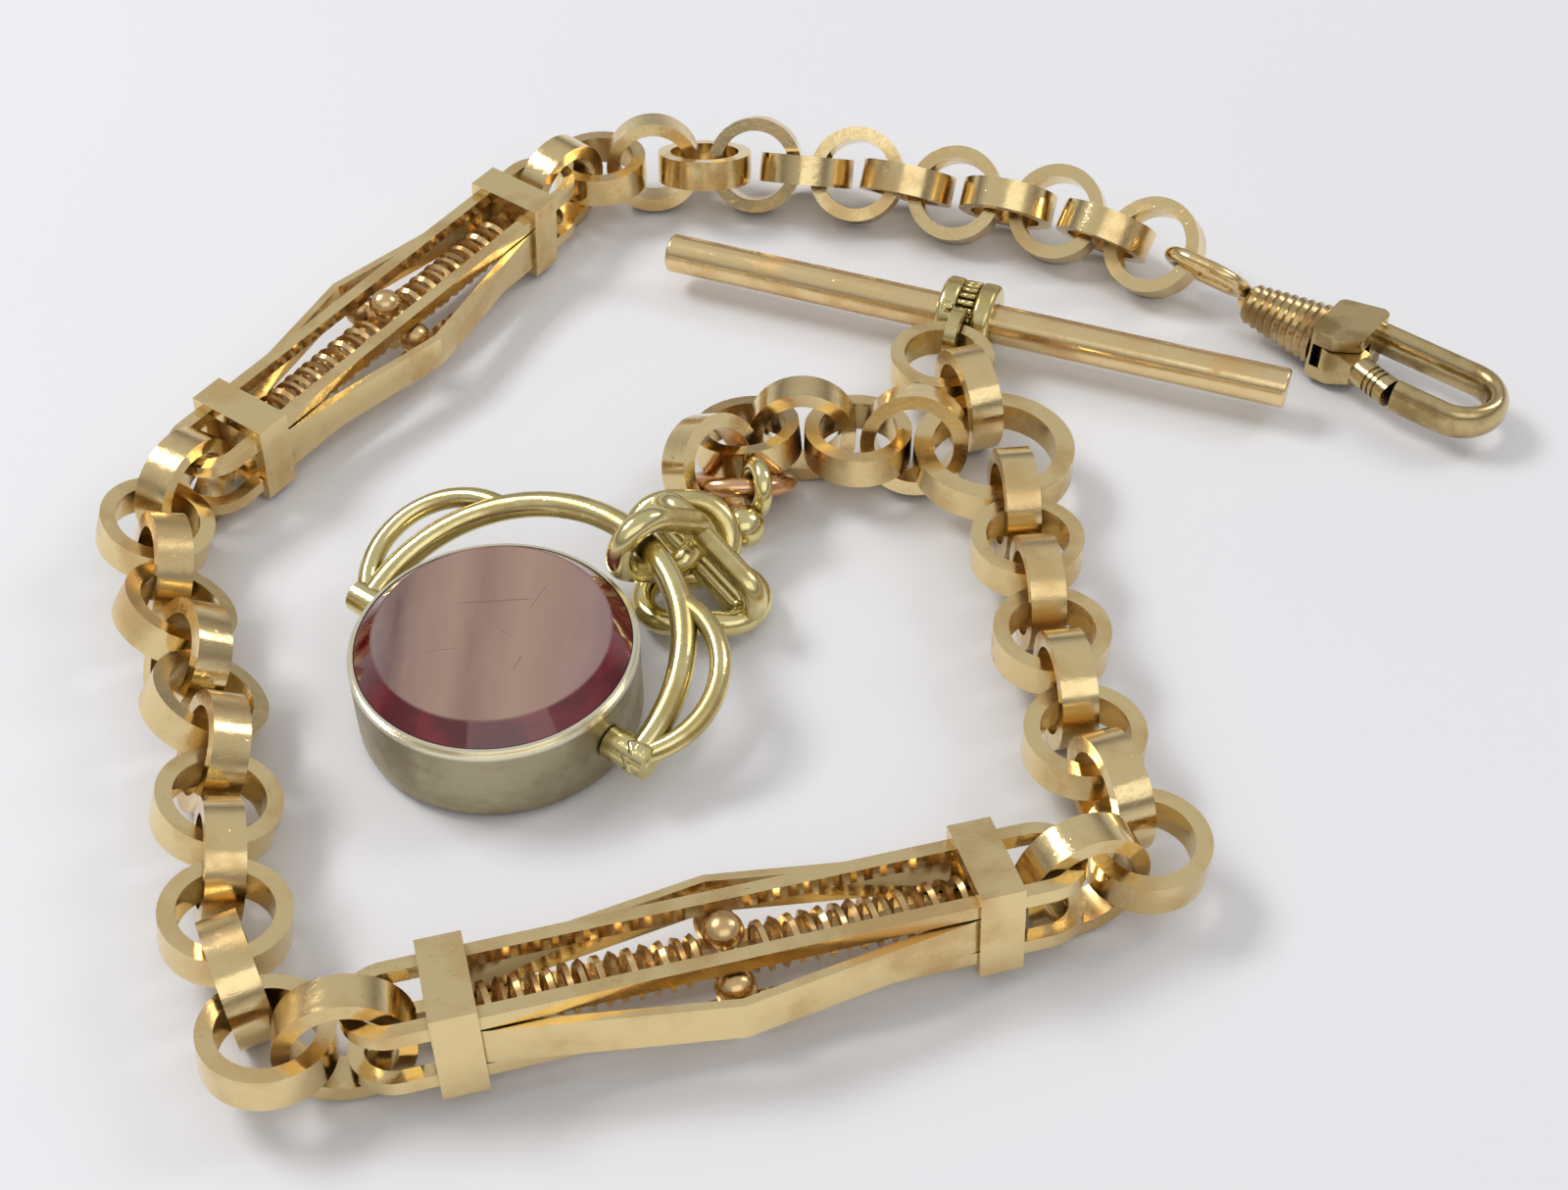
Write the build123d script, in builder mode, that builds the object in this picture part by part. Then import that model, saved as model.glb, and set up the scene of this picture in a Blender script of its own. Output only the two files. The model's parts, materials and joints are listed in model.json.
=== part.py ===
from build123d import *
import math
import os

os.makedirs("parts", exist_ok=True)

# An Albert watch chain laid out on a table, in millimetres, +Z up, the table at Z = 0.
# The large centre ring's axis is the origin.

# Belcher links
link_outer = 6.6
link_wall = 0.88
link_band = 2.0
end_link_outer = 6.8
hung_height = 3.2
right_pitch = 3.75
left_pitch = 3.72
top_pitch = 3.65
drop_pitch = 3.7
fob_pitch = 3.51

# Centre ring
centre_outer = 9.8
centre_wall = 1.15
centre_band = 1.9
centre_height = 2.9
first_link_reach = 4.7
drop_link_reach = 5.05
fob_link_reach = 4.85

# Cage links
cage_height = 3.47
hoop_length = 37.2
hoop_width = 4.9
hoop_wire = 0.8
hoop_rise = 1.6
cage_reach = 18.5
collar_outer = 5.4
collar_length = 2.3
collar_spread = 26.8
end_plate = 0.5
strip_height = 2.2
strip_thickness = 0.5
strip_bulge = 4.5
spring_outer = 2.6
spring_wire = 0.31
spring_ease = 0.5
spring_turns = 14
disc_thickness = 0.9
disc_radius = 1.6
ball_radius = 1.05
side_ball_reach = 2.25
top_ball_reach = 1.55

# T-bar and its collar
bar_length = 42.3
bar_radius = 1.28
bar_height = 2.55
bar_reach = 6.1
bar_end_round = 0.2
collar_disc_radius = 2.5
collar_disc_width = 1.25
collar_disc_round = 0.35
collar_band_radius = 2.2
collar_band_width = 1.1
band_flutes = 20
band_flute_radius = 0.16
bore_clearance = 0.04
eye_wire = 0.8
eye_length = 3.5
eye_height = 4.3

# Dog clip
bail_length = 6.5
bail_width = 5.0
bail_wire = 1.0
bail_lead = 1.0
bail_gap = 0.15
stem_radius = 0.6
stem_length = 2.4
barrel_length = 5.4
barrel_small = 1.35
barrel_large = 2.1
barrel_ridges = 9
ridge_depth = 0.16
clip_height = 2.35
fork_length = 3.3
fork_half_height = 1.8
fork_far = 2.3
fork_near = 2.1
fork_round = 0.6
hook_length = 18.4
hook_thickness = 1.5
hook_depth = 2.3
hook_span = 4.7
gate_slot = 1.7
gate_play = 0.06
gate_root_radius = 1.25
gate_pin_radius = 0.4
gate_pin_x = 7.2
gate_pin_y = -1.0
gate_reach = 4.8
gate_tongue = 2.0
gate_radius = 0.95
gate_ring_depth = 0.12
gate_ring_width = 0.2

# Swivel fob
case_x = -28.6
case_y = -18.2
case_radius = 7.95
case_height = 5.3
case_round = 0.9
bezel_width = 0.35
bezel_rise = 0.25
stone_rise = 1.0
stone_bevel = 1.0
stone_depth = 2.6
stone_clearance = 0.05
pivot_height = 2.85
pivot_pin_radius = 0.5
pivot_pin_depth = 1.2
pivot_boss_radius = 0.95
stirrup_wire = 1.5
stirrup_reach = 9.75
stirrup_bulge = 11.1
scroll_wire = 1.2
scroll_reach = 12.6

# Jump ring and knot
jump_outer = 7.0
jump_wire = 1.15
jump_x = -15.49
jump_y = -1.68
jump_height = 2.16
knot_wire = 1.5
knot_eye_wire = 1.1
eye_line_radius = 1.3
eye_shift = 0.12
knot_joint_radius = 1.3
joint_x = -15.2
joint_y = -6.2
joint_height = 2.8
oval_x = -18.8
oval_y = -7.8
oval_height = 3.3
oval_half_length = 2.8
oval_half_width = 2.2
diagonal_x = -17.2
diagonal_y = -9.6
diagonal_height = 3.6
diagonal_half_length = 4.0
diagonal_half_width = 1.3
base_x = -17.6
base_y = -10.8
base_height = 1.4
base_half_length = 3.4
base_half_width = 2.0
arch_loop_offset = 1.3
arch_loop_half_length = 3.2
arch_loop_half_width = 1.75

# One overrun for every cut
overrun = 1.0


def heading_vector(heading):
    return Vector(math.cos(math.radians(heading)), math.sin(math.radians(heading)), 0)


def left_vector(heading):
    return heading_vector(heading + 90)


def link_plane(centre, heading, roll):
    # The plane of a link whose middle line is the heading, rolled about it from flat
    lean = math.radians(roll)
    normal = Vector(0, 0, math.cos(lean)) + left_vector(heading) * math.sin(lean)
    return Plane(origin=centre, x_dir=heading_vector(heading), z_dir=normal)


def rest_height(roll, outer):
    # Height of the centre of a link that rests on its rim, or hangs between its neighbours
    lean = math.radians(roll)
    height = outer / 2 * abs(math.sin(lean)) + link_band / 2 * abs(math.cos(lean))
    return max(height, hung_height)


def lay_run(start, rows, pitch, exit_heading, end_links):
    # Places for a run of links: name, plane and outer size
    places = []
    centre = start
    for index, (name, heading, roll, share) in enumerate(rows):
        following = rows[index + 1][1] if index + 1 < len(rows) else exit_heading
        outer = end_link_outer if name in end_links else link_outer
        height = rest_height(roll, outer)
        if index > 0:
            step = pitch * share
            rise = height - centre.Z
            centre = centre + heading_vector(heading) * math.sqrt(step * step - rise * rise)
        centre = Vector(centre.X, centre.Y, height)
        places.append((name, link_plane(centre, (heading + following) / 2, roll), outer))
    return places


def local_plane(plane, x, y, z):
    # The same axes, moved to a point given in the plane's own axes
    return Plane(origin=plane.from_local_coords(Vector(x, y, z)), x_dir=plane.x_dir, z_dir=plane.z_dir)


# Runs of links, in the order that they hang. Each row holds the name, the heading of the step
# to the link and its roll, both in degrees, and the share of the run's pitch that it is away.
right_shares = [
    ("right_link_1", -85, 90, 1), ("right_link_2", -83, 0, 1), ("right_link_3", -85, 90, 1),
    ("right_link_4", -83, 0, 1), ("right_link_5", -83, 90, 1), ("right_link_6", -80, 0, 1),
    ("right_link_7", -74, 90, 1), ("right_bend_link", -69, 0, 1.06), ("front_cage_right_link", -153, 86, 1.06),
]
left_shares = [
    ("front_cage_left_link", 198, 84, 1), ("left_bend_link", 180, -8, 1), ("left_link_1", 120, 92, 1.06),
    ("left_link_2", 110, -10, 1), ("left_link_3", 105, 74, 1), ("left_link_4", 103, -20, 1),
    ("left_link_5", 103, 62, 1), ("left_link_6", 108, -34, 1), ("left_link_7", 115, 54, 1),
    ("left_link_8", 112, -34, 1), ("left_link_9", 112, 68, 1), ("left_link_10", 108, -20, 1),
    ("rear_cage_left_link", 72, 86, 1),
]
top_shares = [
    ("rear_cage_right_link", 60, 86, 1), ("top_link_1", 44, 2, 1), ("top_link_2", 6, -80, 1.05),
    ("top_link_3", 0, 20, 1), ("top_link_4", -2, -62, 1), ("top_link_5", -8, 34, 1),
    ("top_link_6", -10, -50, 1), ("top_link_7", -15, 40, 1), ("top_link_8", -24, -46, 1),
    ("top_link_9", -14, 46, 1), ("top_link_10", -22, -44, 1), ("top_link_11", -32, 46, 1),
    ("top_link_12", -32, -44, 1),
]
drop_shares = [("drop_link_1", 102, 90, 1), ("drop_link_2", 114, 0, 1)]
fob_shares = [
    ("fob_link_1", 169.7, 72.8, 1), ("fob_link_2", 176.6, -2.7, 1), ("fob_link_3", 164.2, 87, 1),
    ("fob_link_4", 192.2, -10.3, 1), ("fob_link_5", 235.7, 60.5, 1),
]
end_links = [
    "front_cage_right_link", "front_cage_left_link", "rear_cage_left_link", "rear_cage_right_link",
]

first_heading = -79
right_exit_heading = -165
front_heading = -165
front_roll = -8
left_exit_heading = 52
rear_heading = 57
rear_roll = -4
top_exit_heading = -42
clip_heading = -40
bail_roll = 48
drop_heading = 104
drop_exit_heading = 84
bar_heading = -20
fob_heading = 169.7
fob_exit_heading = 229.7
jump_tilt = 37.2
pivot_heading = -36
stirrup_tilt = 20

right_run = lay_run(
    heading_vector(first_heading) * first_link_reach, right_shares, right_pitch, right_exit_heading, end_links
)
front_cage = link_plane(
    right_run[-1][1].origin + heading_vector(front_heading) * cage_reach, front_heading, front_roll
)
front_cage.origin = Vector(front_cage.origin.X, front_cage.origin.Y, cage_height)
left_run = lay_run(
    front_cage.origin + heading_vector(front_heading) * cage_reach,
    left_shares, left_pitch, left_exit_heading, end_links,
)
rear_cage = link_plane(
    left_run[-1][1].origin + heading_vector(rear_heading) * cage_reach, rear_heading, rear_roll
)
rear_cage.origin = Vector(rear_cage.origin.X, rear_cage.origin.Y, cage_height)
top_run = lay_run(
    rear_cage.origin + heading_vector(rear_heading) * cage_reach,
    top_shares, top_pitch, top_exit_heading, end_links,
)
drop_run = lay_run(
    heading_vector(drop_heading) * drop_link_reach, drop_shares, drop_pitch, drop_exit_heading, end_links
)
fob_run = lay_run(
    heading_vector(fob_heading) * fob_link_reach, fob_shares, fob_pitch, fob_exit_heading, end_links
)


# Belcher links: flat-sided bands rolled into rings
for name, plane, outer in right_run + left_run + top_run + drop_run + fob_run:
    with BuildPart() as link:
        with BuildSketch(plane):
            Circle(outer / 2)
            Circle(outer / 2 - link_wall, mode=Mode.SUBTRACT)
        extrude(amount=link_band / 2, both=True)
    link.part.label = name
    export_step(link.part, f"parts/{name}.step")


# Centre ring
with BuildPart() as centre_ring:
    with BuildSketch(Plane.XY.offset(centre_height)):
        Circle(centre_outer / 2)
        Circle(centre_outer / 2 - centre_wall, mode=Mode.SUBTRACT)
    extrude(amount=centre_band / 2, both=True)
centre_ring.part.label = "centre_ring"
export_step(centre_ring.part, "parts/centre_ring.step")


def biarc(start, start_tangent, end, end_tangent):
    # Two arcs that meet smoothly, from one point and direction to another
    chord = end - start
    both = start_tangent + end_tangent
    spread = 2 * (1 - start_tangent.dot(end_tangent))
    reach = chord.dot(both)
    handle = (math.sqrt(reach * reach + spread * chord.dot(chord)) - reach) / spread
    start_corner = start + start_tangent * handle
    end_corner = end - end_tangent * handle
    middle = (start_corner + end_corner) / 2
    TangentArc(start, middle, tangent=start_tangent)
    TangentArc(middle, end, tangent=(end_corner - start_corner).normalized())


def coil(plane, start_x, end_x):
    # One coil spring along the plane's X axis: square wire, ends turned straight along the axis
    radius = (spring_outer - spring_wire) / 2
    lead = spring_wire + spring_ease
    run = end_x - start_x - 2 * lead
    slope = math.atan2(run / spring_turns, 2 * math.pi * radius)
    stations = [0, 1 / 4]
    for half in range(1, 2 * spring_turns):
        stations.append(1 / 4 + half / 2)
    stations.append(spring_turns)
    knots = []
    for station in stations:
        turn = 2 * math.pi * station
        x = start_x + lead + run * station / spring_turns
        along = math.sin(slope)
        around = math.cos(slope)
        if station == 0:
            x = start_x + spring_wire
            along, around = 1, 0
        if station == spring_turns:
            x = end_x - spring_wire
            along, around = 1, 0
        point = plane.from_local_coords(Vector(x, radius * math.cos(turn), radius * math.sin(turn)))
        tangent = (
            plane.x_dir * along
            - plane.y_dir * (around * math.sin(turn))
            + plane.z_dir * (around * math.cos(turn))
        )
        knots.append((point, tangent))
    with BuildPart() as spring:
        with BuildLine() as path:
            Line(knots[0][0] - plane.x_dir * spring_wire, knots[0][0])
            for (start, start_tangent), (end, end_tangent) in zip(knots, knots[1:]):
                biarc(start, start_tangent, end, end_tangent)
            Line(knots[-1][0], knots[-1][0] + plane.x_dir * spring_wire)
        with BuildSketch(Plane(origin=path.line @ 0, x_dir=plane.z_dir, z_dir=plane.x_dir)):
            Rectangle(spring_wire, spring_wire)
        sweep()
    return spring.part, path.line


def least_gap(line):
    # The least gap between a coil's wire and itself, on points along the line
    count = 24 * spring_turns
    points = [line @ (index / count) for index in range(count + 1)]
    half_turn = count // (2 * spring_turns)
    least = spring_outer
    for index, point in enumerate(points):
        for other in points[index + half_turn:]:
            least = min(least, (other - point).length - spring_wire)
    return least


def build_cage(prefix, cage):
    # Two hoops of square wire, whose ends stand out of the collars as loops
    with BuildPart() as hoops:
        for side in (1, -1):
            with BuildSketch(local_plane(cage, 0, 0, side * hoop_rise)):
                SlotOverall(hoop_length, hoop_width)
                SlotOverall(hoop_length - 2 * hoop_wire, hoop_width - 2 * hoop_wire, mode=Mode.SUBTRACT)
            extrude(amount=hoop_wire / 2, both=True)
    hoops.part.label = f"{prefix}_hoops"
    export_step(hoops.part, f"parts/{prefix}_hoops.step")

    # Square collars with an end plate each, and the side strips bent out to a point at mid-length
    window_height = 2 * hoop_rise + hoop_wire
    plate_height = window_height - 2 * hoop_wire
    strip_inner = hoop_width / 2 - strip_thickness
    strip_outer = hoop_width / 2
    strip_end = (collar_spread + collar_length) / 2
    strip_start = (collar_spread - collar_length) / 2
    with BuildPart() as shell:
        for end in (1, -1):
            collar = Plane(
                origin=cage.from_local_coords(Vector(end * collar_spread / 2, 0, 0)),
                x_dir=cage.y_dir,
                z_dir=cage.x_dir,
            )
            with BuildSketch(collar):
                Rectangle(collar_outer, collar_outer)
                Rectangle(hoop_width, window_height, mode=Mode.SUBTRACT)
            extrude(amount=collar_length / 2, both=True)
            with BuildSketch(collar):
                Rectangle(hoop_width, plate_height)
            extrude(amount=end_plate / 2, both=True)
        for side in (1, -1):
            with BuildSketch(cage):
                with BuildLine():
                    Polyline(
                        (-strip_end, side * strip_inner),
                        (-strip_start, side * strip_inner),
                        (0, side * (strip_bulge - strip_thickness)),
                        (strip_start, side * strip_inner),
                        (strip_end, side * strip_inner),
                        (strip_end, side * strip_outer),
                        (strip_start, side * strip_outer),
                        (0, side * strip_bulge),
                        (-strip_start, side * strip_outer),
                        (-strip_end, side * strip_outer),
                        close=True,
                    )
                make_face()
            extrude(amount=strip_height / 2, both=True)
    shell.part.label = f"{prefix}_shell"
    export_step(shell.part, f"parts/{prefix}_shell.step")

    # Centre disc with its polished balls, and a coil spring from each side of it to the end plates
    with BuildPart() as core:
        with BuildSketch(Plane(origin=cage.origin, x_dir=cage.y_dir, z_dir=cage.x_dir)):
            Circle(disc_radius)
        extrude(amount=disc_thickness / 2, both=True)
        ball_places = [
            local_plane(cage, 0, side_ball_reach, 0).origin,
            local_plane(cage, 0, -side_ball_reach, 0).origin,
            local_plane(cage, 0, 0, top_ball_reach).origin,
        ]
        with Locations(*ball_places):
            Sphere(ball_radius)
    plate_face = (collar_spread - end_plate) / 2
    left_spring, left_line = coil(cage, -plate_face, -disc_thickness / 2)
    right_spring, right_line = coil(cage, disc_thickness / 2, plate_face)
    inner = Compound(
        label=f"{prefix}_springs",
        children=[core.part.solid(), left_spring.solid(), right_spring.solid()],
    )
    export_step(inner, f"parts/{prefix}_springs.step")
    for line in (left_line, right_line):
        print(f"{prefix} spring: least gap to itself {least_gap(line):.3f} mm")


build_cage("front_cage", front_cage)
build_cage("rear_cage", rear_cage)


# T-bar: a plain round bar, turned in its collar
bar_across = left_vector(bar_heading)
bar_middle = drop_run[-1][1].origin + bar_across * bar_reach
bar = Plane(
    origin=(bar_middle.X, bar_middle.Y, bar_height),
    x_dir=(0, 0, 1),
    z_dir=heading_vector(bar_heading),
)
with BuildPart() as t_bar:
    with BuildSketch(bar):
        Circle(bar_radius)
    extrude(amount=bar_length / 2, both=True)
    fillet(t_bar.edges().filter_by(GeomType.CIRCLE), bar_end_round)
t_bar.part.label = "t_bar"
export_step(t_bar.part, "parts/t_bar.step")

# Collar: two rounded discs, a fluted band between them and a flat eye round the drop link's band
link_line_radius = (link_outer - link_wall) / 2
eye_centre = bar_middle - bar_across * (bar_reach - link_line_radius)
with BuildPart() as t_bar_collar:
    for side in (1, -1):
        with BuildSketch(bar.offset(side * (collar_band_width + collar_disc_width) / 2)):
            Circle(collar_disc_radius)
        extrude(amount=collar_disc_width / 2, both=True)
    rims = t_bar_collar.edges().filter_by(GeomType.CIRCLE)
    fillet(rims, collar_disc_round)
    with BuildSketch(bar):
        Circle(collar_band_radius)
        with PolarLocations(collar_band_radius, band_flutes):
            Circle(band_flute_radius, mode=Mode.SUBTRACT)
    extrude(amount=collar_band_width / 2, both=True)
    with BuildSketch(Plane(origin=eye_centre, x_dir=bar_across * -1, z_dir=heading_vector(bar_heading))):
        SlotOverall(eye_height, eye_length, rotation=90)
        SlotOverall(eye_height - 2 * eye_wire, eye_length - 2 * eye_wire, rotation=90, mode=Mode.SUBTRACT)
    extrude(amount=eye_wire / 2, both=True)
    with BuildSketch(bar):
        Circle(bar_radius + bore_clearance)
    extrude(amount=collar_band_width / 2 + collar_disc_width + overrun, both=True, mode=Mode.SUBTRACT)
t_bar_collar.part.label = "t_bar_collar"
export_step(t_bar_collar.part, "parts/t_bar_collar.step")


# Dog clip. Its plane has X along the clip, from the bail's stem to the hook's tip.
last_link = top_run[-1][1].origin
clip_origin = last_link + heading_vector(clip_heading) * (bail_lead + bail_length + bail_gap)
clip = Plane(
    origin=(clip_origin.X, clip_origin.Y, clip_height),
    x_dir=heading_vector(clip_heading),
    z_dir=(0, 0, 1),
)
clip_across = Plane(origin=clip.origin, x_dir=clip.y_dir, z_dir=clip.x_dir)

# Bail: an oval loop of round wire on a stem that turns in the barrel
bail_middle = clip.from_local_coords(Vector(-bail_gap - bail_length / 2, 0, hung_height - clip_height))
bail_plane = link_plane(bail_middle, clip_heading, bail_roll)
bail_straight = (bail_length - bail_width) / 2
bail_line = (bail_width - bail_wire) / 2
with BuildPart() as clip_bail:
    with BuildLine(bail_plane) as bail_path:
        Line((-bail_straight, bail_line), (bail_straight, bail_line))
        ThreePointArc(
            (bail_straight, bail_line), (bail_straight + bail_line, 0), (bail_straight, -bail_line)
        )
        Line((bail_straight, -bail_line), (-bail_straight, -bail_line))
        ThreePointArc(
            (-bail_straight, -bail_line), (-bail_straight - bail_line, 0), (-bail_straight, bail_line)
        )
    with BuildSketch(Plane(origin=bail_path.line @ 0, x_dir=bail_plane.y_dir, z_dir=bail_plane.x_dir)):
        Circle(bail_wire / 2)
    sweep()
    with BuildSketch(clip_across.offset(-bail_gap - bail_wire / 2)):
        Circle(stem_radius)
    extrude(amount=stem_length + bail_gap + bail_wire / 2)
clip_bail.part.label = "clip_bail"
export_step(clip_bail.part, "parts/clip_bail.step")

# Barrel: a cone of turned ridges, bored for the stem
ridge = barrel_length / barrel_ridges
taper = (barrel_large - barrel_small) / barrel_length
with BuildPart() as clip_barrel:
    with BuildSketch(clip):
        with BuildLine():
            outline = [(0, stem_radius + bore_clearance), (0, barrel_small - ridge_depth)]
            for index in range(barrel_ridges):
                crest = ridge * (index + 1 / 2)
                valley = ridge * (index + 1)
                outline.append((crest, barrel_small + taper * crest))
                outline.append((valley, barrel_small + taper * valley - ridge_depth))
            outline.append((barrel_length, 0))
            outline.append((stem_length + bore_clearance, 0))
            outline.append((stem_length + bore_clearance, stem_radius + bore_clearance))
            Polyline(*outline, close=True)
        make_face()
    revolve(axis=Axis(clip.origin, clip.x_dir))
clip_barrel.part.label = "clip_barrel"
export_step(clip_barrel.part, "parts/clip_barrel.step")

# Hook: a forked root with the gate's pin, and an oval arm bent round the tip
hook_start = barrel_length + fork_length / 2
hook_line = hook_span / 2
hook_bend_x = hook_length - hook_thickness / 2 - hook_line
slot_radius = gate_root_radius + 2 * gate_play
with BuildPart() as clip_hook:
    with BuildSketch(clip):
        with BuildLine():
            Polyline(
                (barrel_length, -barrel_large),
                (barrel_length, barrel_large),
                (barrel_length + fork_length, fork_far + hook_thickness / 2),
                (barrel_length + fork_length, -fork_near / 2),
                (gate_pin_x, -fork_near),
                close=True,
            )
        make_face()
    extrude(amount=fork_half_height, both=True)
    upright = clip_hook.edges().filter_by(Axis.Z)
    fillet(upright, fork_round)
    with BuildSketch(clip):
        with Locations((gate_pin_x, gate_pin_y)):
            Circle(slot_radius)
        with Locations((gate_pin_x + fork_length, gate_pin_y)):
            Rectangle(2 * fork_length, 2 * slot_radius)
        with Locations((gate_pin_x, gate_pin_y - fork_near)):
            Rectangle(2 * slot_radius, 2 * fork_near)
    extrude(amount=gate_slot / 2, both=True, mode=Mode.SUBTRACT)
    with BuildSketch(clip):
        with Locations((gate_pin_x, gate_pin_y)):
            Circle(gate_pin_radius)
    extrude(amount=fork_half_height, both=True)
    with BuildLine(clip) as hook_path:
        Line((hook_start, hook_line), (hook_bend_x, hook_line))
        ThreePointArc((hook_bend_x, hook_line), (hook_bend_x + hook_line, 0), (hook_bend_x, -hook_line))
        Line((hook_bend_x, -hook_line), (gate_pin_x + gate_reach + gate_play, -hook_line))
    with BuildSketch(Plane(origin=hook_path.line @ 0, x_dir=clip.y_dir, z_dir=clip.x_dir)):
        Ellipse(hook_thickness / 2, hook_depth / 2)
    sweep()
clip_hook.part.label = "clip_hook"
export_step(clip_hook.part, "parts/clip_hook.step")

# Gate: a flat root and tongue on the pin, and a round arm with three turned rings. Its end is cut
# round the pin, so that it swings in past the hook's nose.
arm_rise = gate_pin_y + hook_line
arm_heading = clip.x_dir * math.sqrt(gate_reach * gate_reach - arm_rise * arm_rise) - clip.y_dir * arm_rise
pin_centre = clip.from_local_coords(Vector(gate_pin_x, gate_pin_y, 0))
arm = Plane(origin=pin_centre, x_dir=(0, 0, 1), z_dir=arm_heading)
with BuildPart() as clip_gate:
    with BuildSketch(clip):
        with Locations((gate_pin_x, gate_pin_y)):
            Circle(gate_root_radius)
    extrude(amount=gate_slot / 2 - gate_play, both=True)
    with BuildSketch(arm):
        Rectangle(gate_slot - 2 * gate_play, 2 * gate_radius)
    extrude(amount=gate_tongue)
    with BuildSketch(arm.offset(gate_tongue)):
        Circle(gate_radius)
    extrude(amount=gate_reach + gate_radius - gate_tongue)
    for index in range(3):
        with BuildSketch(arm.offset(gate_reach - gate_radius - gate_ring_width * 2 * index)):
            Circle(gate_radius + overrun)
            Circle(gate_radius - gate_ring_depth, mode=Mode.SUBTRACT)
        extrude(amount=gate_ring_width, mode=Mode.SUBTRACT)
    with BuildSketch(clip):
        with Locations((gate_pin_x, gate_pin_y)):
            Circle(gate_reach + 2 * gate_radius + overrun)
            Circle(gate_reach, mode=Mode.SUBTRACT)
            Circle(gate_pin_radius + bore_clearance)
    extrude(amount=gate_radius + overrun, both=True, mode=Mode.SUBTRACT)
clip_gate.part.label = "clip_gate"
export_step(clip_gate.part, "parts/clip_gate.step")


# Swivel fob. The pivot axis crosses the case at mid-height.
case = Plane(origin=(case_x, case_y, 0))
case_centre = Vector(case_x, case_y, pivot_height)
seat_radius = case_radius - bezel_width
stone_seat = case_height + bezel_rise + stone_rise - stone_depth
with BuildPart() as fob_case:
    with BuildSketch(case):
        Circle(case_radius)
    extrude(amount=case_height)
    fillet(fob_case.faces().sort_by(Axis.Z)[0].edges(), case_round)
    with BuildSketch(case.offset(case_height)):
        Circle(case_radius - bezel_width / 2)
    extrude(amount=bezel_rise)
    with BuildSketch(case.offset(stone_seat)):
        Circle(seat_radius)
    extrude(amount=stone_depth, mode=Mode.SUBTRACT)
    for side in (1, -1):
        socket = Plane(
            origin=case_centre + heading_vector(pivot_heading) * (side * case_radius),
            z_dir=heading_vector(pivot_heading) * -side,
        )
        with BuildSketch(socket):
            Circle(pivot_pin_radius + bore_clearance)
        extrude(amount=pivot_pin_depth + bore_clearance, mode=Mode.SUBTRACT)
fob_case.part.label = "fob_case"
export_step(fob_case.part, "parts/fob_case.step")

# Stone: a thick slab with a polished bevel
with BuildPart() as fob_stone:
    with BuildSketch(case.offset(stone_seat)):
        Circle(seat_radius - stone_clearance)
    extrude(amount=stone_depth)
    chamfer(fob_stone.faces().sort_by(Axis.Z)[-1].edges(), stone_bevel)
fob_stone.part.label = "fob_stone"
export_step(fob_stone.part, "parts/fob_stone.step")

# Stirrup: an arch of wire from pin to pin, with a scroll of thinner wire at each shoulder
arch_side = left_vector(pivot_heading)
stirrup_lean = math.radians(stirrup_tilt)
stirrup = Plane(
    origin=case_centre,
    x_dir=heading_vector(pivot_heading),
    z_dir=Vector(0, 0, math.cos(stirrup_lean)) - arch_side * math.sin(stirrup_lean),
)


def polar(radius, angle):
    return (radius * math.cos(math.radians(angle)), radius * math.sin(math.radians(angle)))


with BuildPart() as fob_stirrup:
    with BuildLine(stirrup) as arch_path:
        ThreePointArc(polar(stirrup_reach, 180), (0, stirrup_bulge), polar(stirrup_reach, 0))
    with BuildSketch(Plane(origin=arch_path.line @ 0, z_dir=arch_path.line % 0)):
        Circle(stirrup_wire / 2)
    sweep()
    for first, second in ((0, 52), (180, 128)):
        with BuildLine(stirrup) as scroll_path:
            ThreePointArc(
                polar(stirrup_reach, first),
                polar(scroll_reach, (first + second) / 2),
                polar(stirrup_bulge, second),
            )
        with BuildSketch(Plane(origin=scroll_path.line @ 0, z_dir=scroll_path.line % 0)):
            Circle(scroll_wire / 2)
        sweep()
    for side in (1, -1):
        inward = heading_vector(pivot_heading) * -side
        boss = Plane(origin=case_centre - inward * stirrup_reach, z_dir=inward)
        with BuildSketch(boss.offset(-pivot_boss_radius)):
            Circle(pivot_boss_radius)
        extrude(amount=stirrup_reach - case_radius + pivot_boss_radius - 2 * bore_clearance)
        with BuildSketch(boss):
            Circle(pivot_pin_radius)
        extrude(amount=stirrup_reach - case_radius + pivot_pin_depth)
fob_stirrup.part.label = "fob_stirrup"
export_step(fob_stirrup.part, "parts/fob_stirrup.step")


# Jump ring: a plain ring of round wire, through the last fob link and leaning on it
jump_centre = Vector(jump_x, jump_y, jump_height)
jump_line = (jump_outer - jump_wire) / 2
jump_lean = math.radians(jump_tilt)
jump = Plane(origin=jump_centre, x_dir=(1, 0, 0), z_dir=(0, math.sin(jump_lean), math.cos(jump_lean)))
with BuildPart() as jump_ring:
    with BuildSketch(Plane(origin=jump.from_local_coords(Vector(jump_line, 0, 0)), x_dir=jump.x_dir, z_dir=jump.y_dir)):
        Circle(jump_wire / 2)
    revolve(axis=Axis(jump.origin, jump.z_dir))
jump_ring.part.label = "jump_ring"
export_step(jump_ring.part, "parts/jump_ring.step")


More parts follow.
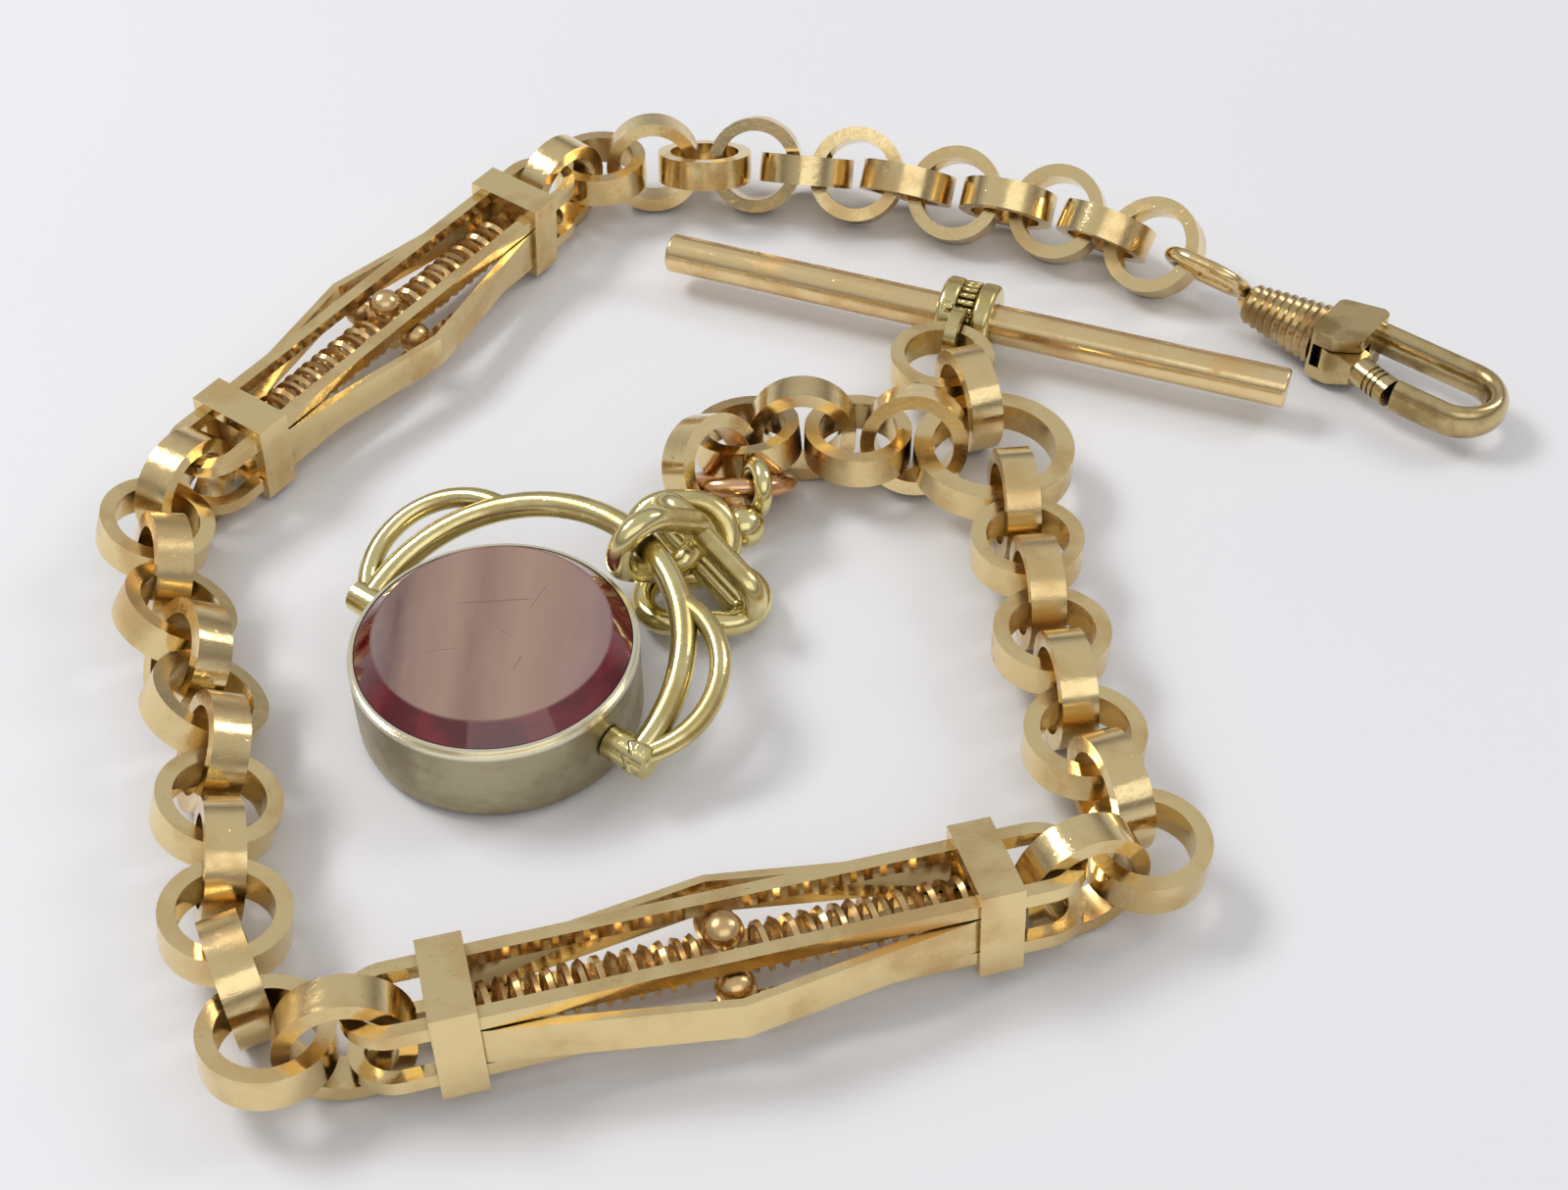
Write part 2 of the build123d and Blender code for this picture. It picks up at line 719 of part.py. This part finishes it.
# Knot: an eye round the jump ring, a joint, and closed loops of wire wound through each other,
# one of them round the stirrup's arch
def wire_loop(centre, direction, normal, half_length, half_width):
    # A closed oval loop of round wire, its ends half circles
    straight = half_length - half_width
    plane = Plane(origin=centre, x_dir=direction, z_dir=normal)
    with BuildPart() as loop:
        with BuildLine(plane) as path:
            Line((-straight, half_width), (straight, half_width))
            ThreePointArc((straight, half_width), (half_length, 0), (straight, -half_width))
            Line((straight, -half_width), (-straight, -half_width))
            ThreePointArc((-straight, -half_width), (-half_length, 0), (-straight, half_width))
        with BuildSketch(Plane(origin=path.line @ 0, x_dir=plane.z_dir, z_dir=path.line % 0)):
            Circle(knot_wire / 2)
        sweep()
    return loop.part


eye_angle = -70
arch_loop_angle = 75
arch_radius = (stirrup_reach * stirrup_reach + stirrup_bulge * stirrup_bulge) / (2 * stirrup_bulge)
arch_rise = stirrup_bulge - arch_radius
arch_x, arch_y = polar(arch_radius, arch_loop_angle)
arch_point = stirrup.from_local_coords(Vector(arch_x, arch_rise + arch_y, 0))
tangent_x, tangent_y = polar(1, arch_loop_angle + 90)
arch_tangent = stirrup.x_dir * tangent_x + stirrup.y_dir * tangent_y
oval_centre = Vector(oval_x, oval_y, oval_height)
diagonal_centre = Vector(diagonal_x, diagonal_y, diagonal_height)
to_knot = diagonal_centre - arch_point
to_knot = (to_knot - arch_tangent * to_knot.dot(arch_tangent)).normalized()
eye_x, eye_y = polar(jump_line + eye_shift, eye_angle)
eye_point = jump.from_local_coords(Vector(eye_x, eye_y, 0))
eye_normal_x, eye_normal_y = polar(1, eye_angle + 90)
eye_normal = jump.x_dir * eye_normal_x + jump.y_dir * eye_normal_y
joint_centre = Vector(joint_x, joint_y, joint_height)
to_joint = joint_centre - eye_point
to_joint = (to_joint - eye_normal * to_joint.dot(eye_normal)).normalized()

with BuildPart() as knot:
    eye_section = Plane(
        origin=eye_point + to_joint * eye_line_radius, x_dir=to_joint, z_dir=eye_normal.cross(to_joint)
    )
    with BuildSketch(eye_section):
        Circle(knot_eye_wire / 2)
    revolve(axis=Axis(eye_point, eye_normal))
    add(wire_loop(oval_centre, (1, 0, 0), (0, -1, 1), oval_half_length, oval_half_width))
    add(wire_loop(diagonal_centre, (1, -1, -1 / 2), (1, 1, 0), diagonal_half_length, diagonal_half_width))
    add(wire_loop(Vector(base_x, base_y, base_height), (1, 0, 0), (0, 0, 1), base_half_length, base_half_width))
    add(wire_loop(
        arch_point + to_knot * arch_loop_offset, to_knot, arch_tangent, arch_loop_half_length, arch_loop_half_width
    ))
    with Locations(joint_centre):
        Sphere(knot_joint_radius)
knot.part.label = "knot"
export_step(knot.part, "parts/knot.step")
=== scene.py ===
import json
import math

import bpy
import bmesh
from mathutils import Matrix, Vector, noise


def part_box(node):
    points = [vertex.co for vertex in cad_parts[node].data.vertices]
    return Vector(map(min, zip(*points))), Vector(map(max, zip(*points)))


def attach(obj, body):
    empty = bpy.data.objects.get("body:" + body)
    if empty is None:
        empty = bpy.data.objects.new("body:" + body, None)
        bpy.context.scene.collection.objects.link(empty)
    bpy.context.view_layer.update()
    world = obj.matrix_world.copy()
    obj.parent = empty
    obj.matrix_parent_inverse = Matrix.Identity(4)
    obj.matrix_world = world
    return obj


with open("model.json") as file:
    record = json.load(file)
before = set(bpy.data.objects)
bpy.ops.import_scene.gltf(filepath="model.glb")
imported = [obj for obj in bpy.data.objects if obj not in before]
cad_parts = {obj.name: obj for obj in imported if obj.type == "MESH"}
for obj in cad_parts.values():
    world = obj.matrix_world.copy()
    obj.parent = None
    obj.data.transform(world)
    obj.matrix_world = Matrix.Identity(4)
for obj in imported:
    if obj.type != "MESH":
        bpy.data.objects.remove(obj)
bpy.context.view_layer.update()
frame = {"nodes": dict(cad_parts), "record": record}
nodes = frame["nodes"]
joints = {joint["name"]: joint for joint in frame["record"]["behaviour"]["joints"]}
mounts = {mount["name"]: mount for mount in frame["record"]["mounts"]}
scene = bpy.context.scene
scene.view_settings.view_transform = "Standard"

# Camera at the photograph's place, over the table in front of the chain
view = {"place": (-0.0128, -0.0978, 0.0902), "target": (-0.0128, -0.0091, 0.0), "lens": 49.05, "sensor": 36.0,
        "nearest": 0.002}


def aimedAt(place, target):
    return (Vector(target) - Vector(place)).to_track_quat("-Z", "Y")


def putIn(obj, place, target):
    obj.location = place
    obj.rotation_mode = "QUATERNION"
    obj.rotation_quaternion = aimedAt(place, target)
    scene.collection.objects.link(obj)


camera = bpy.data.objects.new("camera", bpy.data.cameras.new("camera"))
camera.data.lens = view["lens"]
camera.data.sensor_width = view["sensor"]
camera.data.clip_start = view["nearest"]
putIn(camera, view["place"], view["target"])
scene.camera = camera
print("camera placed")


class Value:
    # a socket that can stand in a sum

    def __init__(self, finish, socket):
        self.finish = finish
        self.socket = socket

    def work(self, operation, first, second=0.0):
        return self.finish.add("ShaderNodeMath", {"operation": operation}, {0: first, 1: second})

    def __add__(self, other):
        return self.work("ADD", self, other)

    def __sub__(self, other):
        return self.work("SUBTRACT", self, other)

    def __rsub__(self, other):
        return self.work("SUBTRACT", other, self)

    def __mul__(self, other):
        return self.work("MULTIPLY", self, other)

    def __truediv__(self, other):
        return self.work("DIVIDE", self, other)

    def __pow__(self, other):
        return self.work("POWER", self, other)

    def __abs__(self):
        return self.work("ABSOLUTE", self)

    __radd__ = __add__
    __rmul__ = __mul__


class Finish:
    # a material, or the room's own nodes, and the few ways in which nodes are added

    def __init__(self, name, tree=None):
        if tree is None:
            self.material = bpy.data.materials.new(name)
            self.material.use_nodes = True
            tree = self.material.node_tree
            self.shader = tree.nodes["Principled BSDF"]
        self.tree = tree

    def add(self, kind, settings=None, inputs=None, output=0):
        node = self.tree.nodes.new(kind)
        for key, value in (settings or {}).items():
            if key == "stops":
                self.setStops(node.color_ramp, value)
            else:
                setattr(node, key, value)
        for key, value in (inputs or {}).items():
            self.plug(node.inputs[key], value)
        return Value(self, node.outputs[output])

    def plug(self, socket, value):
        if isinstance(value, Value):
            self.tree.links.new(value.socket, socket)
        else:
            socket.default_value = value

    def setStops(self, ramp, stops):
        while len(ramp.elements) < len(stops):
            ramp.elements.new(0.5)
        for element, (where, tone) in zip(ramp.elements, stops):
            element.position = where
            element.color = shade(tone)

    def place(self):
        return self.add("ShaderNodeTexCoord", output="Object")

    def part(self, vector, axis):
        return self.add("ShaderNodeSeparateXYZ", inputs={0: vector}, output=axis)

    def stretched(self, where, scale, turn=(0.0, 0.0, 0.0), shift=(0.0, 0.0, 0.0)):
        # moved, turned and then scaled, so that a stretch follows the turn
        inputs = {"Vector": where, "Location": shift, "Rotation": turn, "Scale": tuple(1.0 / size for size in scale)}
        return self.add("ShaderNodeMapping", {"vector_type": "TEXTURE"}, inputs)

    def cloud(self, where, scale, detail=3.0, rough=0.55):
        inputs = {"Vector": where, "Scale": scale, "Detail": detail, "Roughness": rough}
        return self.add("ShaderNodeTexNoise", inputs=inputs)

    def openness(self, distance):
        return self.add("ShaderNodeAmbientOcclusion", {"samples": 6}, {"Distance": distance}, "AO")

    def ramp(self, value, stops):
        return self.add("ShaderNodeValToRGB", {"stops": stops}, {"Fac": value})

    def between(self, value, low, high):
        inputs = {"Value": value, "From Min": low, "From Max": high}
        return self.add("ShaderNodeMapRange", {"interpolation_type": "SMOOTHSTEP"}, inputs)

    def blend(self, share, first, second):
        # the mix node's colour sockets come after those for numbers and vectors
        return self.add("ShaderNodeMix", {"data_type": "RGBA"}, {0: share, 6: first, 7: second}, 2)

    def bump(self, height, strength, depth):
        return self.add("ShaderNodeBump", inputs={"Height": height, "Strength": strength, "Distance": depth})

    def finishWith(self, **sockets):
        for key, value in sockets.items():
            self.plug(self.shader.inputs[key.replace("_", " ")], value)
        return self.material


def shade(tone):
    return (*tone, 1.0)


# Gold finishes. Noise scales are per metre, a recess or depth is in metres
golds = {
    "warm_gold": {"face": (0.84, 0.66, 0.34), "patch": (0.70, 0.49, 0.22), "tarnishAndShade": (0.09, 0.040, 0.011),
                  "rough": 0.115, "roughSpread": 0.20, "patchScale": 230.0, "recess": 0.0012},
    "green_gold": {"face": (0.76, 0.66, 0.32), "patch": (0.56, 0.44, 0.18), "tarnishAndShade": (0.10, 0.062, 0.018),
                   "rough": 0.13, "roughSpread": 0.19, "patchScale": 260.0, "recess": 0.0010},
    "spring_gold": {"face": (0.74, 0.52, 0.25), "patch": (0.56, 0.34, 0.14), "tarnishAndShade": (0.07, 0.030, 0.010),
                    "rough": 0.24, "roughSpread": 0.12, "patchScale": 420.0, "recess": 0.0006},
    "copper": {"face": (0.80, 0.48, 0.27), "patch": (0.64, 0.33, 0.15), "tarnishAndShade": (0.10, 0.038, 0.012),
               "rough": 0.18, "roughSpread": 0.12, "patchScale": 300.0, "recess": 0.0010},
    "clip_gold": {"face": (0.62, 0.48, 0.24), "patch": (0.36, 0.25, 0.10), "tarnishAndShade": (0.05, 0.024, 0.008),
                  "rough": 0.14, "roughSpread": 0.20, "patchScale": 330.0, "recess": 0.0013},
    "barrel_gold": {"face": (0.56, 0.41, 0.20), "patch": (0.34, 0.22, 0.09), "tarnishAndShade": (0.04, 0.018, 0.006),
                    "rough": 0.16, "roughSpread": 0.18, "patchScale": 330.0, "recess": 0.0009},
}
wearAndShade = {
    "patchDetail": 4.0, "patchEdge": (0.44, 0.66),
    "grimeAndShadeScale": 3.1, "grimeAndShadeDetail": 5.0, "grimeAndShadeRough": 0.65, "grimeAndShadeShare": 0.30,
    "recessEdge": (0.30, 0.86), "recessTint": 0.92, "recessRough": 0.22,
    "scratchScale": 260.0, "scratchParts": (1.0, 1.7), "scratchTurns": ((0.3, 0.2, 0.5), (1.2, 0.6, 2.1)),
    "scratchStretch": 16.0, "scratchDetail": 2.0, "scratchEdge": (0.54, 0.62), "scratchShares": (0.6, 0.4),
    "scratchHeight": -0.16, "scratchRough": 0.06,
    "pitScale": 2600.0, "pitDetail": 2.0, "pitEdge": (0.66, 0.76), "pitHeight": 0.5, "pitTint": 0.06,
    "dentScale": 900.0, "dentDetail": 2.0, "dentDepth": 0.000022, "bump": 0.55,
}


def goldFinish(name, look, brushed=None):
    # patches, tarnish with painted shade in the recesses, fine scratches two ways (or one, where brushed), pits and
    # soft dents
    finish = Finish(name)
    where = finish.place()
    patches = finish.between(finish.cloud(where, look["patchScale"], wearAndShade["patchDetail"]), *wearAndShade["patchEdge"])
    grimeAndShade = finish.cloud(where, look["patchScale"] * wearAndShade["grimeAndShadeScale"], wearAndShade["grimeAndShadeDetail"], wearAndShade["grimeAndShadeRough"])
    # painted shade with tarnish: occlusion picks out the recesses, broken up by noise
    shut = (1.0 - finish.openness(look["recess"])) + (grimeAndShade - 0.5) * wearAndShade["grimeAndShadeShare"]
    recess = finish.between(shut, *wearAndShade["recessEdge"])
    stretch = (1.0, wearAndShade["scratchStretch"], wearAndShade["scratchStretch"])
    scratches = []
    for turn, part in zip(wearAndShade["scratchTurns"], wearAndShade["scratchParts"]):
        along = finish.stretched(where, stretch, brushed or turn)
        lines = finish.cloud(along, wearAndShade["scratchScale"] * part, wearAndShade["scratchDetail"])
        scratches.append(finish.between(lines, *wearAndShade["scratchEdge"]))
    marks = scratches[0] * wearAndShade["scratchShares"][0] + scratches[1] * wearAndShade["scratchShares"][1]
    pits = finish.between(finish.cloud(where, wearAndShade["pitScale"], wearAndShade["pitDetail"]), *wearAndShade["pitEdge"])
    dents = finish.cloud(where, wearAndShade["dentScale"], wearAndShade["dentDetail"])
    height = marks * wearAndShade["scratchHeight"] + dents - pits * wearAndShade["pitHeight"]
    face = finish.blend(patches, shade(look["face"]), shade(look["patch"]))
    # painted shade with tarnish: the face colour turns to the dark tarnish-and-shade tone in recesses, and a little
    # in pits
    tint = finish.blend(recess * wearAndShade["recessTint"] + pits * wearAndShade["pitTint"], face, shade(look["tarnishAndShade"]))
    rough = (patches * look["roughSpread"] + marks * wearAndShade["scratchRough"] + recess * wearAndShade["recessRough"]
             + look["rough"])
    normal = finish.bump(height, wearAndShade["bump"], wearAndShade["dentDepth"])
    return finish.finishWith(Base_Color=tint, Metallic=1.0, Roughness=rough, Normal=normal)


finishes = {name: goldFinish(name, look) for name, look in golds.items()}
print("gold finishes made")

# T-bar: drawn lengthwise, so its grain runs along the bar
barLook = dict(golds["warm_gold"], face=(0.86, 0.66, 0.35), patch=(0.74, 0.49, 0.22), rough=0.18)
barAxis = Vector(mounts["t_bar_end"]["axis"])
finishes["bar_gold"] = goldFinish("bar_gold", barLook, (0.0, 0.0, math.atan2(barAxis.y, barAxis.x)))

# Fob case: matte on its side, bright on the bezel, with tarnish and painted shade in its recesses
case = {
    "side": (0.44, 0.39, 0.26), "sidePatch": (0.33, 0.28, 0.17), "bezel": (0.86, 0.80, 0.62),
    "tarnishAndShade": (0.10, 0.07, 0.03),
    "bezelDepth": 0.0007, "bezelEnd": 0.55,
    "patchScale": 260.0, "patchDetail": 5.0, "patchRough": 0.6, "patchEdge": (0.38, 0.66),
    "recess": 0.0010, "recessEdge": (0.35, 0.9), "recessTint": 0.85,
    "markStretch": (2.0, 2.0, 30.0), "markTurn": (0.1, 0.05, 0.0), "markScale": 170.0, "markEdge": (0.50, 0.64),
    "rough": 0.36, "patchRougher": 0.10, "markRougher": 0.08, "recessRougher": 0.2, "bezelSmoother": 0.22,
    "dentScale": 800.0, "dentDepth": 0.00002, "markHeight": 0.4, "bump": 0.5,
}


def caseFinish():
    finish = Finish("case_gold")
    where = finish.place()
    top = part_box("fob_case")[1][2]
    bezelLow, bezelHigh = top - case["bezelDepth"], top - case["bezelDepth"] * case["bezelEnd"]
    bezel = finish.between(finish.part(where, "Z"), bezelLow, bezelHigh)
    mottle = finish.cloud(where, case["patchScale"], case["patchDetail"], case["patchRough"])
    patches = finish.between(mottle, *case["patchEdge"])
    # painted shade with tarnish: occlusion darkens the case colour in its recesses
    recess = finish.between(1.0 - finish.openness(case["recess"]), *case["recessEdge"])
    rubbed = finish.cloud(finish.stretched(where, case["markStretch"], case["markTurn"]), case["markScale"])
    marks = finish.between(rubbed, *case["markEdge"])
    side = finish.blend(patches, shade(case["side"]), shade(case["sidePatch"]))
    face = finish.blend(bezel, side, shade(case["bezel"]))
    tint = finish.blend(recess * case["recessTint"], face, shade(case["tarnishAndShade"]))
    rough = (case["rough"] + patches * case["patchRougher"] + marks * case["markRougher"]
             + recess * case["recessRougher"] - bezel * case["bezelSmoother"])
    height = finish.cloud(where, case["dentScale"]) - marks * case["markHeight"]
    normal = finish.bump(height, case["bump"], case["dentDepth"])
    return finish.finishWith(Base_Color=tint, Metallic=1.0, Roughness=rough, Normal=normal)


finishes["case_gold"] = caseFinish()

# Stone: banded agate on its flat table under a pale haze that is a painted reflection, dark red on its polished
# bevel
stone = {
    "bevel": (0.845, 0.88),  # where its table gives way to its bevel, as shares of the radius
    "bands": [(0.00, (0.33, 0.25, 0.24)), (0.07, (0.24, 0.16, 0.15)), (0.15, (0.13, 0.060, 0.055)),
              (0.21, (0.26, 0.155, 0.120)), (0.36, (0.34, 0.215, 0.155)), (0.44, (0.25, 0.140, 0.105)),
              (0.60, (0.35, 0.225, 0.160)), (0.74, (0.31, 0.185, 0.140)), (0.86, (0.27, 0.165, 0.150)),
              (1.00, (0.20, 0.095, 0.120))],
    "waver": 0.05, "waverScale": 260.0, "waverStretch": (1.0, 0.35, 1.0), "waverDetail": 2.0,
    "paintedReflection": (0.37, 0.245, 0.185), "paintedReflectionShare": 0.28, "paintedReflectionScale": 300.0, "paintedReflectionStretch": (2.2, 0.7, 1.0),
    "paintedReflectionEdge": (0.36, 0.74), "paintedReflectionRough": 0.05,
    "rim": (0.10, 0.004, 0.009), "rimLight": (0.20, 0.012, 0.018), "rimScale": 420.0, "rimEdge": (0.42, 0.68),
    "rimSmoother": 0.11,
    "scratch": (0.16, 0.06, 0.06), "scratchTint": 0.75, "scratchRough": 0.25,
    "speckScale": 2600.0, "speckDetail": 2.0, "speckEdge": (0.70, 0.76), "speckShare": 0.35,
    "dentScale": 700.0, "dentDetail": 2.0, "dentShare": 0.4, "bump": 0.4, "bumpDepth": 0.00002,
    "rough": 0.17, "coat": 0.7, "coatRough": 0.06, "index": 1.54,
}
# Cuts in the table: where each starts, how far it runs and its width, in metres from the middle
cuts = [
    ((-0.0023, 0.0020), (0.0046, 0.0004), 0.00005),
    ((0.0002, 0.0003), (0.0011, -0.0009), 0.00004),
    ((0.0018, 0.0014), (0.0010, 0.0022), 0.00003),
    ((0.0014, -0.0030), (0.0004, 0.0012), 0.00004),
    ((-0.0034, -0.0016), (0.0018, 0.0003), 0.00003),
]
cutEdge = {"fade": 0.15, "core": 0.4}  # shares of a cut's length and of its width


def cutMark(finish, across, along, cut):
    # one straight cut that fades towards both ends
    (startX, startY), (alongX, alongY), width = cut
    length = math.hypot(alongX, alongY)
    unitX, unitY = alongX / length, alongY / length
    run = (across - startX) * unitX + (along - startY) * unitY
    off = (along - startY) * unitX - (across - startX) * unitY
    begun = finish.between(run, 0.0, length * cutEdge["fade"])
    ended = finish.between(run, length * (1.0 - cutEdge["fade"]), length)
    return begun * (1.0 - ended) * (1.0 - finish.between(abs(off), width * cutEdge["core"], width))


def stoneFinish():
    finish = Finish("stone")
    low, high = (Vector(corner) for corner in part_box("fob_stone"))
    middle = (low + high) / 2
    radius = (high.x - low.x) / 2
    where = finish.stretched(finish.place(), (1.0, 1.0, 1.0), shift=(middle.x, middle.y, high.z))
    across, along = finish.part(where, "X"), finish.part(where, "Y")
    rim = finish.between((across * across + along * along) ** 0.5 / radius, *stone["bevel"])
    wave = finish.cloud(finish.stretched(where, stone["waverStretch"]), stone["waverScale"], stone["waverDetail"])
    banded = finish.ramp(across / (2 * radius) + 0.5 + (wave - 0.5) * stone["waver"], stone["bands"])
    # painted reflection: a pale cloudy haze laid over the bands of the flat table
    reflectionNoise = finish.cloud(finish.stretched(where, stone["paintedReflectionStretch"]), stone["paintedReflectionScale"])
    paintedReflection = finish.between(reflectionNoise, *stone["paintedReflectionEdge"])
    flat = finish.blend(paintedReflection * stone["paintedReflectionShare"], banded, shade(stone["paintedReflection"]))
    specks = finish.cloud(where, stone["speckScale"], stone["speckDetail"])
    marks = finish.between(specks, *stone["speckEdge"]) * stone["speckShare"]
    for cut in cuts:
        marks = marks + cutMark(finish, across, along, cut)
    glow = finish.between(finish.cloud(where, stone["rimScale"]), *stone["rimEdge"])
    edge = finish.blend(glow, shade(stone["rim"]), shade(stone["rimLight"]))
    worn = finish.blend(marks * stone["scratchTint"], flat, shade(stone["scratch"]))
    tint = finish.blend(rim, worn, edge)
    rough = (stone["rough"] + marks * stone["scratchRough"] - rim * stone["rimSmoother"]
             + paintedReflection * stone["paintedReflectionRough"])
    dents = finish.cloud(where, stone["dentScale"], stone["dentDetail"]) * stone["dentShare"]
    normal = finish.bump(marks * -1.0 + dents, stone["bump"], stone["bumpDepth"])
    return finish.finishWith(Base_Color=tint, Roughness=rough, Normal=normal, IOR=stone["index"],
                             Coat_Weight=stone["coat"], Coat_Roughness=stone["coatRough"])


finishes["stone"] = stoneFinish()
print("stone finish made")

# Every CAD node keeps its shape and takes the finish of its slot, or one of its own
slots = {row["node"]: row["material_slot"] for row in frame["record"]["subparts"]}
ownFinishes = {"t_bar": "bar_gold", "fob_case": "case_gold", "clip_barrel": "barrel_gold", "clip_hook": "clip_gold",
               "clip_gate": "clip_gold"}
for name, node in nodes.items():
    finish = finishes[ownFinishes.get(name, slots[name])]
    if not node.material_slots:
        node.data.materials.append(finish)
    for slot in node.material_slots:
        slot.material = finish
print("finishes given to", len(nodes), "nodes")


# Small pieces beside the CAD solids, each riding on its own body
def addPiece(name, mesh, body, finish):
    bmesh.ops.recalc_face_normals(mesh, faces=mesh.faces)
    data = bpy.data.meshes.new(name)
    mesh.to_mesh(data)
    mesh.free()
    for face in data.polygons:
        face.use_smooth = True
    data.materials.append(finishes[finish])
    piece = bpy.data.objects.new(name, data)
    scene.collection.objects.link(piece)
    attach(piece, body)


# Fluted band between the collar's two discs: round ribs that lie along the bar
flutes = {"count": 26, "radius": 0.00222, "rib": 0.00022, "length": 0.00100, "sides": 10}
collar = joints["t_bar_turn"]
collarMiddle = Vector(collar["pos_m"])


def collarFlutes():
    # the matrix turns the z axis of the ribs to the bar's axis
    onBar = Matrix.Translation(collarMiddle) @ Vector(collar["axis"]).to_track_quat("Z", "X").to_matrix().to_4x4()
    mesh = bmesh.new()
    for index in range(flutes["count"]):
        turn = Matrix.Rotation(2 * math.pi * index / flutes["count"], 4, "Z")
        place = turn @ Matrix.Translation((flutes["radius"], 0.0, 0.0))
        bmesh.ops.create_cone(mesh, cap_ends=True, segments=flutes["sides"], radius1=flutes["rib"],
                              radius2=flutes["rib"], depth=flutes["length"], matrix=onBar @ place)
    addPiece("collar_flutes", mesh, "t_bar_collar", "green_gold")


collarFlutes()

# Lumpy solder at the stirrup's pivot and on the collar's disc
blobs = {
    "stirrup_blob": {"body": "fob_stirrup", "radius": 0.00098, "lump": 0.00016, "seed": 3.0, "reach": 0.0098},
    "collar_blob": {"body": "t_bar_collar", "radius": 0.00042, "lump": 0.00009, "seed": 8.0,
                    "along": -0.00105, "side": -0.00155, "rise": 0.00175},
}
blobLumps = {"coarse": 2.1, "fine": 5.0, "fineShare": 0.4, "subdivisions": 4}


def solderBlob(name, centre):
    blob = blobs[name]
    start = Vector((blob["seed"],) * 3)
    mesh = bmesh.new()
    bmesh.ops.create_icosphere(mesh, subdivisions=blobLumps["subdivisions"], radius=blob["radius"])
    for vert in mesh.verts:
        way = vert.co.normalized()
        fine = noise.noise(way * blobLumps["fine"] + start)
        swell = noise.noise(way * blobLumps["coarse"] + start) + blobLumps["fineShare"] * fine
        vert.co += way * swell * blob["lump"]
    bmesh.ops.translate(mesh, verts=mesh.verts, vec=centre)
    addPiece(name, mesh, blob["body"], "green_gold")


swivel = joints["fob_swivel"]
pivotWay = Vector(swivel["axis"])
if pivotWay.x < 0:
    pivotWay = -pivotWay  # the blob is on the right-hand shoulder
solderBlob("stirrup_blob", Vector(swivel["pos_m"]) + pivotWay * blobs["stirrup_blob"]["reach"])

onDisc = blobs["collar_blob"]
sideWay = Vector((-barAxis.y, barAxis.x, 0.0))
solderBlob("collar_blob", collarMiddle + barAxis * onDisc["along"] + sideWay * onDisc["side"]
           + Vector((0.0, 0.0, onDisc["rise"])))
print("flutes and solder made")

# Table, lamps and the room that the metal reflects
table = {"size": 3.0, "tint": (0.795, 0.795, 0.815), "paler": 1.05, "cloudScale": 9.0, "cloudDetail": 2.0,
         "rough": 0.55}


def tableFinish():
    finish = Finish("table")
    cloud = finish.cloud(finish.place(), table["cloudScale"], table["cloudDetail"])
    paler = [part * table["paler"] for part in table["tint"]]
    tint = finish.blend(cloud, shade(table["tint"]), shade(paler))
    return finish.finishWith(Base_Color=tint, Roughness=table["rough"])


def makeTable():
    mesh = bmesh.new()
    bmesh.ops.create_grid(mesh, x_segments=1, y_segments=1, size=table["size"] / 2)
    data = bpy.data.meshes.new("table")
    mesh.to_mesh(data)
    mesh.free()
    data.materials.append(tableFinish())
    obj = bpy.data.objects.new("table", data)
    scene.collection.objects.link(obj)


makeTable()

lampAim = (-0.01, 0.0, 0.0)
lamps = {
    "lampLeft": {"place": (-0.34, 0.14, 0.42), "size": (0.22, 0.15), "power": 1.28},
    "lampRight": {"place": (0.36, 0.16, 0.36), "size": (0.13, 0.22), "power": 0.42},
    "lampFront": {"place": (0.10, -0.48, 0.50), "size": (0.70, 0.40), "power": 0.60},
}
for name, lamp in lamps.items():
    light = bpy.data.lights.new(name, "AREA")
    light.shape = "RECTANGLE"
    light.size, light.size_y = lamp["size"]
    light.energy = lamp["power"]
    putIn(bpy.data.objects.new(name, light), lamp["place"], lampAim)

# The room is pale at the horizon and overhead, with a darker band between that the gold picks up
room = {
    "strength": 0.60,
    "stops": [(0.00, (0.60, 0.60, 0.62)), (0.50, (1.22, 1.22, 1.24)), (0.575, (0.95, 0.95, 0.97)),
              (0.66, (0.36, 0.35, 0.36)), (0.80, (0.95, 0.95, 0.97)), (1.00, (1.0, 1.0, 1.0))],
}
world = bpy.data.worlds.new("room")
scene.world = world
world.use_nodes = True
walls = Finish("room", world.node_tree)
upward = walls.part(walls.add("ShaderNodeTexCoord", output="Generated"), "Z")
background = world.node_tree.nodes["Background"]
walls.plug(background.inputs["Color"], walls.ramp(upward * 0.5 + 0.5, room["stops"]))
walls.plug(background.inputs["Strength"], room["strength"])
print("table, lamps and room made")
